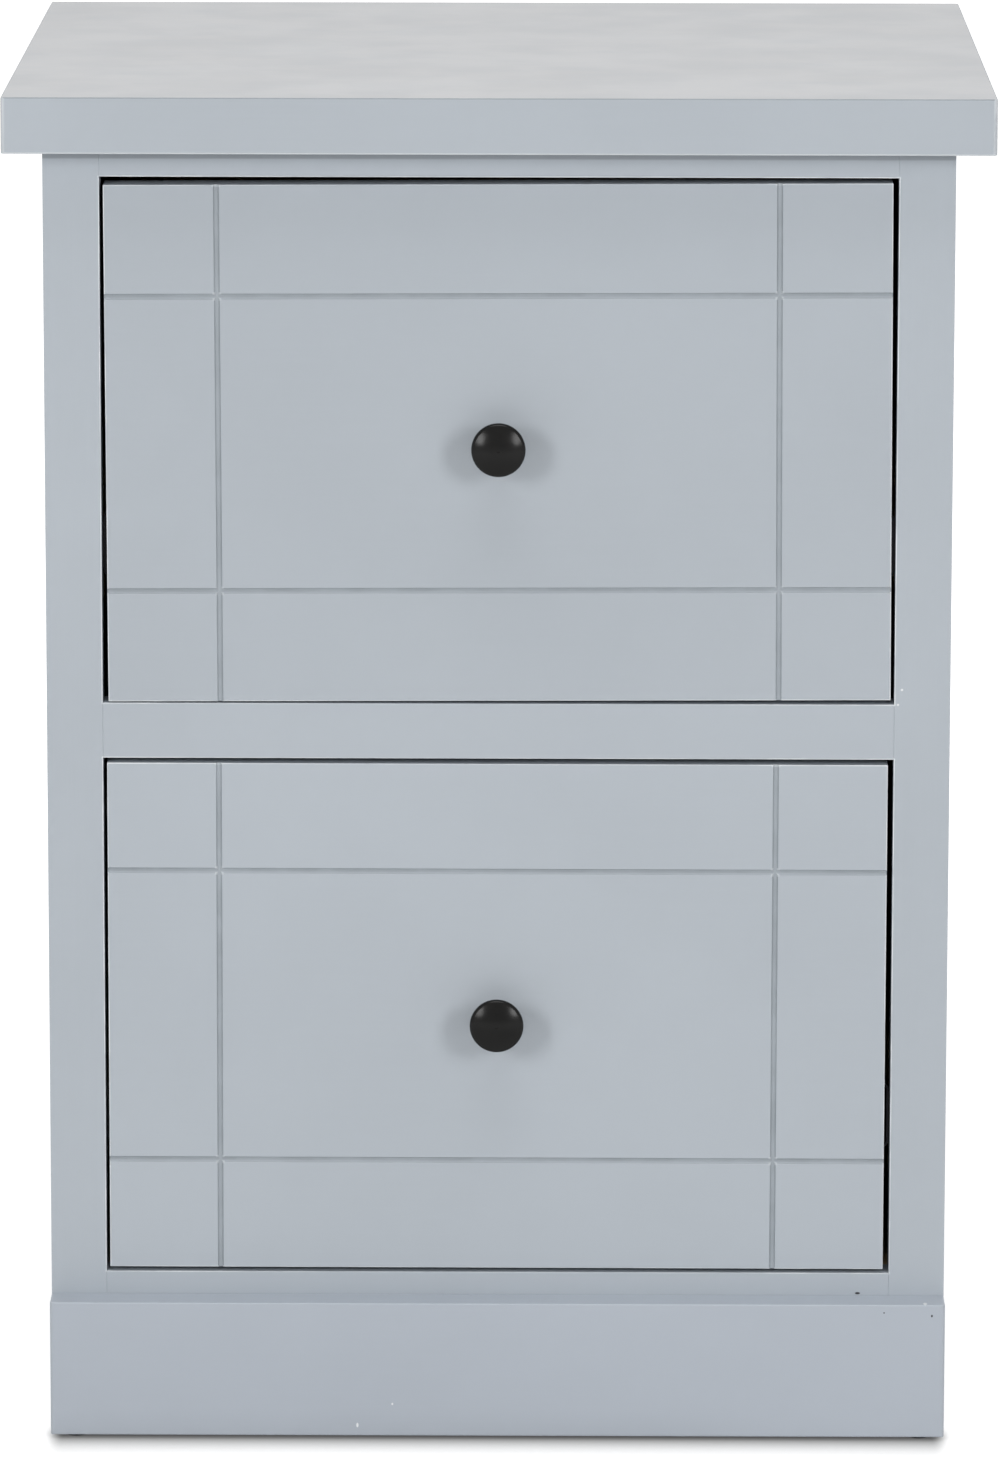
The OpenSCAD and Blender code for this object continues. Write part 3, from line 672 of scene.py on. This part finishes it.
def rolled_steel(name, colour, rough, axis=Y, spangle=0.3):
    """Plated sheet steel: drawing lines along one axis, soft blotches in the plating."""
    t = Finish(name, colour)
    lines = t.noise(2600.0, detail=3.0, roughness=0.6, per_axis=on_axis(axis, 0.01))
    blotches = t.noise(60.0, detail=3.0, roughness=0.6, distortion=0.8)
    t.coat(t.ramp(blotches, 0.35, 0.7, at_high=spangle), tinted(colour, 0.78))
    drawn = t.ramp(lines, 0.3, 0.7, at_low=rough - 0.06, at_high=rough + 0.06)
    blotched = t.ramp(blotches, 0.3, 0.7, at_low=-0.03, at_high=0.05)
    return t.principled(
        Metallic=1.0,
        Roughness=t.math("ADD", drawn, blotched),
        Normal=t.bump(lines, distance=0.01 * MM, strength=0.4),
    )


def knob_black():
    """Black lacquer over turned metal: near black and satin, with a fine speckle."""
    t = Finish("knob_lacquer", LACQUER_DARK)
    speckle = t.noise(1700.0, roughness=0.6)
    clouds = t.noise(110.0, detail=3.0, roughness=0.6)
    t.coat(t.ramp(clouds, 0.3, 0.7), LACQUER_LIGHT)
    t.coat(t.ramp(speckle, 0.66, 0.8, at_high=0.4), LACQUER_SPECK)
    return t.principled(
        Specular_IOR_Level=0.18,
        Roughness=t.ramp(clouds, 0.3, 0.7, at_low=0.19, at_high=0.23),
        Normal=t.bump(speckle, distance=0.012 * MM, strength=0.5),
    )


def glide_nylon():
    """Hard black nylon with a fine moulded grain."""
    t = Finish("glide_nylon", NYLON_DARK)
    grain = t.noise(2400.0, roughness=0.6)
    t.coat(t.ramp(grain, 0.3, 0.7), NYLON_LIGHT)
    return t.principled(
        Roughness=t.ramp(grain, 0.3, 0.7, at_low=0.42, at_high=0.55),
        Normal=t.bump(grain, distance=0.03 * MM, strength=0.6),
    )


# ---------------------------------------------------------------- dressing the nodes


def dress(material, *names):
    """Gives every slot of the nodes' meshes the material."""
    for name in names:
        for place in nodes[name].material_slots:
            place.material = material


def opening_rim(below, above):
    """The rim of the drawer opening between two rails of the face frame."""
    left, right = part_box("left_stile")[1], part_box("right_stile")[0]
    floor_z, roof_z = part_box(below)[1].z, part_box(above)[0].z
    face_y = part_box(above)[0].y
    low, high = Vector((left.x, face_y, floor_z)), Vector((right.x, face_y, roof_z))
    return Rim(low, high, *OPENING_RIM_HIGHLIGHT)


def dress_case():
    """Painted case, its hidden timber, its back and its glides."""
    frame_looks = {
        "knocks": KNOCKS,
        "wear": FRAME_WEAR_AND_HIGHLIGHT,
        "rims": [
            opening_rim("bottom_rail", "middle_rail"),
            opening_rim("middle_rail", "top_rail"),
        ],
        # The height below which the frame gets painted shade under the top
        "under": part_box("top")[0].z,
    }
    upright = paint("paint_upright", PAINT_BODY, Z, **frame_looks)
    level = paint("paint_level", PAINT_BODY, X, **frame_looks)
    dress(upright, "left_stile", "right_stile")
    dress(level, "top_rail", "middle_rail", "bottom_rail")
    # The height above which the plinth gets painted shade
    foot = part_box("plinth_board")[0].z
    plinth = paint("paint_plinth", PAINT_PLINTH, X, knocks=KNOCKS, wear=FRAME_WEAR_AND_HIGHLIGHT, foot=foot)
    dress(plinth, "plinth_board")
    dress(paint("paint_side", PAINT_BODY, Z), "left_side", "right_side")
    # The board's sides are painted darker as painted shade, and its upper face lighter as a painted
    # sheen
    board = paint("paint_top", tinted(PAINT_BODY, BOARD_TONE), X, brush=0.3, upper=PAINT_TOP_WITH_SHEEN)
    dress(board, "top")

    across = wood("birch_across", X, BIRCH_LIGHT, BIRCH_DARK)
    deep = wood("birch_deep", Y, BIRCH_LIGHT, BIRCH_DARK)
    dress(across, "bottom_panel", "front_stretcher", "rear_stretcher", "rear_base_rail")
    dress(wood("birch_upright", Z, BIRCH_LIGHT, BIRCH_DARK), "glue_blocks")
    dress(wood("beech_dowels", X, BEECH_LIGHT, BEECH_DARK, ring=3 * MM), "frame_dowels")
    dress(deep, *[name for name in nodes if name.endswith("_packer")])
    dress(hardboard(), "back_panel")
    dress(glide_nylon(), "floor_glides")


def dress_metal():
    """Slides, ball cages and screws."""
    slide = rolled_steel("slide_black_zinc", SLIDE_ZINC, rough=0.32)
    cage = rolled_steel("cage_zinc", CAGE_ZINC, rough=0.26)
    screw = rolled_steel("screw_zinc", SCREW_ZINC, rough=0.32, axis=Z, spangle=0.2)
    endings = {
        ("_outer_slide", "_inner_slide"): slide,
        ("_ball_cage",): cage,
        ("_screws", "_screw"): screw,
    }
    for ending, metal in endings.items():
        dress(metal, *[name for name in nodes if name.endswith(ending)])


def dress_drawers():
    """Drawer boxes in pale wood, with a veneered bottom."""
    pale = (VENEER_LIGHT, VENEER_DARK)
    across = wood("drawer_wood_across", X, *pale, ring=8 * MM, heart=(0.0, 0.25, 0.12))
    deep = wood("drawer_wood_deep", Y, *pale, ring=8 * MM, heart=(0.07, 0.2, 0.16))
    bottom = wood("drawer_veneer", Y, *pale, ring=12 * MM, heart=(0.05, 0.3, 0.05))
    for drawer in FRONT_HANGS:
        dress(across, f"{drawer}_box_front", f"{drawer}_box_back")
        dress(deep, f"{drawer}_box_left", f"{drawer}_box_right")
        dress(bottom, f"{drawer}_box_floor")


def hung(level, node, mesh, matrix, material):
    """Stands for a node of a drawer, moved by the matrix in which its front hangs."""
    mesh.materials.clear()
    mesh.materials.append(material)
    piece = bpy.data.objects.new(f"{node}_as_hung", mesh)
    piece.matrix_world = matrix
    bpy.context.scene.collection.objects.link(piece)
    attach(piece, f"{level}_drawer")
    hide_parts(node)


def hang_front(level, knob_material):
    """A drawer front with its knob, hung on its box a little off square as fitted fronts are."""
    node, knob = f"{level}_drawer_front", f"{level}_knob"
    low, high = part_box(node)
    middle = (low + high) / 2
    hang = FRONT_HANGS[level]
    matrix = (
        Matrix.Translation(middle + Vector((hang.sideways, 0, hang.upwards)))
        @ Matrix.Rotation(hang.turn, 4, "Y")
        @ Matrix.Translation(-middle)
    )
    mesh = nodes[node].data.copy()
    upper_line = high.z - GROOVE_INSET
    for vertex in mesh.vertices:
        by_face = vertex.co.y < low.y + 2 * GROOVE_DEPTH
        if by_face and abs(vertex.co.z - upper_line) < 2 * GROOVE_HALF:
            vertex.co.z += hang.groove_lift
    grooves = Grooves(
        face_y=low.y,
        top_z=high.z,
        upright_lines=(low.x + GROOVE_INSET, high.x - GROOVE_INSET),
        level_lines=(low.z + GROOVE_INSET, upper_line + hang.groove_lift),
    )
    painted = paint(
        f"paint_{level}_front",
        # The tone is painted shade on the upper front and painted light on the lower one
        tinted(PAINT_BODY, hang.tone),
        X,
        knocks=KNOCKS,
        grooves=grooves,
        rims=[Rim(low, high, *FRONT_RIM_HIGHLIGHT)],
    )
    hung(level, node, mesh, matrix, painted)
    hung(level, knob, nodes[knob].data.copy(), matrix, knob_material)


# ---------------------------------------------------------------- stage


def white_world():
    """Soft even light from all round, shown as plain white."""
    world = bpy.data.worlds.new("white_studio")
    bpy.context.scene.world = world
    t = Tree(world, "ShaderNodeOutputWorld")
    light = t.add("ShaderNodeBackground", Color=WHITE, Strength=WORLD_LIGHT)
    backdrop = t.add("ShaderNodeBackground", Color=WHITE, Strength=SHOWN_WHITE)
    t.lit_or_shown(light, backdrop)


def contact_shade(t):
    """The share of shade on the floor before and under the plinth."""
    axes = t.axes()
    low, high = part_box("plinth_board")
    before = t.math("SUBTRACT", low.y, axes["Y"])
    away = t.math("MAXIMUM", t.math("ADD", before, CONTACT_START), 0.0)
    falling = t.math("POWER", t.math("DIVIDE", away, CONTACT_REACH), CONTACT_SHAPE)
    darkness = t.math("EXPONENT", t.product(falling, -1.0))
    sideways = t.apart(axes["X"], (low.x + high.x) / 2)
    half = (high.x - low.x) / 2
    between_ends = t.ramp(sideways, *[half + end for end in CONTACT_ENDS])
    not_behind = t.ramp(before, *CONTACT_BEHIND)
    return t.product(darkness, CONTACT_DARKEST, between_ends, not_behind)


def floor():
    """Wide white floor that keeps the object's shadow, darkest where the object meets it."""
    bpy.ops.mesh.primitive_circle_add(vertices=FLOOR_CORNERS, radius=FLOOR_RADIUS, fill_type="NGON")
    disc = bpy.context.object
    disc.name = "studio_floor"
    t = Finish("floor_white")
    around = t.add("ShaderNodeAmbientOcclusion", {"samples": SIDE_SAMPLES}, Distance=SIDE_REACH)
    side_shade = t.product(t.rest_of(around.outputs["AO"]), SIDE_SHARE)
    clear = t.rest_of(t.largest(contact_shade(t), side_shade))

    strength = t.ramp(t.length(t.place), *FLOOR_FADE, FLOOR_GLOW_NEAR, SHOWN_WHITE)
    glow = t.add("ShaderNodeEmission", Color=t.mix(clear, BLACK, WHITE), Strength=strength)
    lit = t.add("ShaderNodeBsdfDiffuse", Color=t.mix(clear, BLACK, FLOOR_DIFFUSE))
    shown = t.fed("ShaderNodeAddShader", {}, glow.outputs[0], lit.outputs[0])
    t.lit_or_shown(t.add("ShaderNodeBsdfDiffuse", Color=FLOOR_BOUNCE), shown)
    disc.data.materials.append(t.material)


def softbox(name, facts):
    """An oval lamp, turned to the object."""
    lamp = bpy.data.lights.new(name, "AREA")
    lamp.shape = "ELLIPSE"
    lamp.size = facts.width
    lamp.size_y = facts.height
    lamp.energy = facts.watts
    piece = bpy.data.objects.new(name, lamp)
    bpy.context.scene.collection.objects.link(piece)
    a, e = math.radians(facts.azimuth), math.radians(facts.elevation)
    away = Vector((math.sin(a) * math.cos(e), -math.cos(a) * math.cos(e), math.sin(e)))
    piece.location = TARGET + away * facts.distance
    piece.rotation_mode = "QUATERNION"
    piece.rotation_quaternion = (-away).to_track_quat("-Z", "Y")


def camera():
    """The camera at the photograph's viewing angle."""
    data = bpy.data.cameras.new("view")
    data.lens = CAMERA_LENS_MM
    data.sensor_width = SENSOR_MM
    data.sensor_fit = "AUTO"
    data.clip_start = CLIP_START
    data.clip_end = CLIP_END
    piece = bpy.data.objects.new("view", data)
    bpy.context.scene.collection.objects.link(piece)
    piece.location = CAMERA_PLACE
    piece.rotation_mode = "QUATERNION"
    up, right, back = Vector((0, 0, 1)), Vector((1, 0, 0)), Vector((0, 0, 1))
    piece.rotation_quaternion = (
        Quaternion(up, CAMERA_YAW)
        @ Quaternion(right, math.pi / 2 - CAMERA_PITCH)
        @ Quaternion(back, CAMERA_ROLL)
    )
    bpy.context.scene.camera = piece


# ---------------------------------------------------------------- the scene

bpy.context.scene.view_settings.view_transform = "Standard"
camera()
white_world()
floor()
for box_name, box_facts in SOFTBOXES.items():
    softbox(box_name, box_facts)
dress_case()
dress_metal()
dress_drawers()
knob_lacquer = knob_black()
for drawer_level in FRONT_HANGS:
    hang_front(drawer_level, knob_lacquer)

bpy.context.view_layer.update()
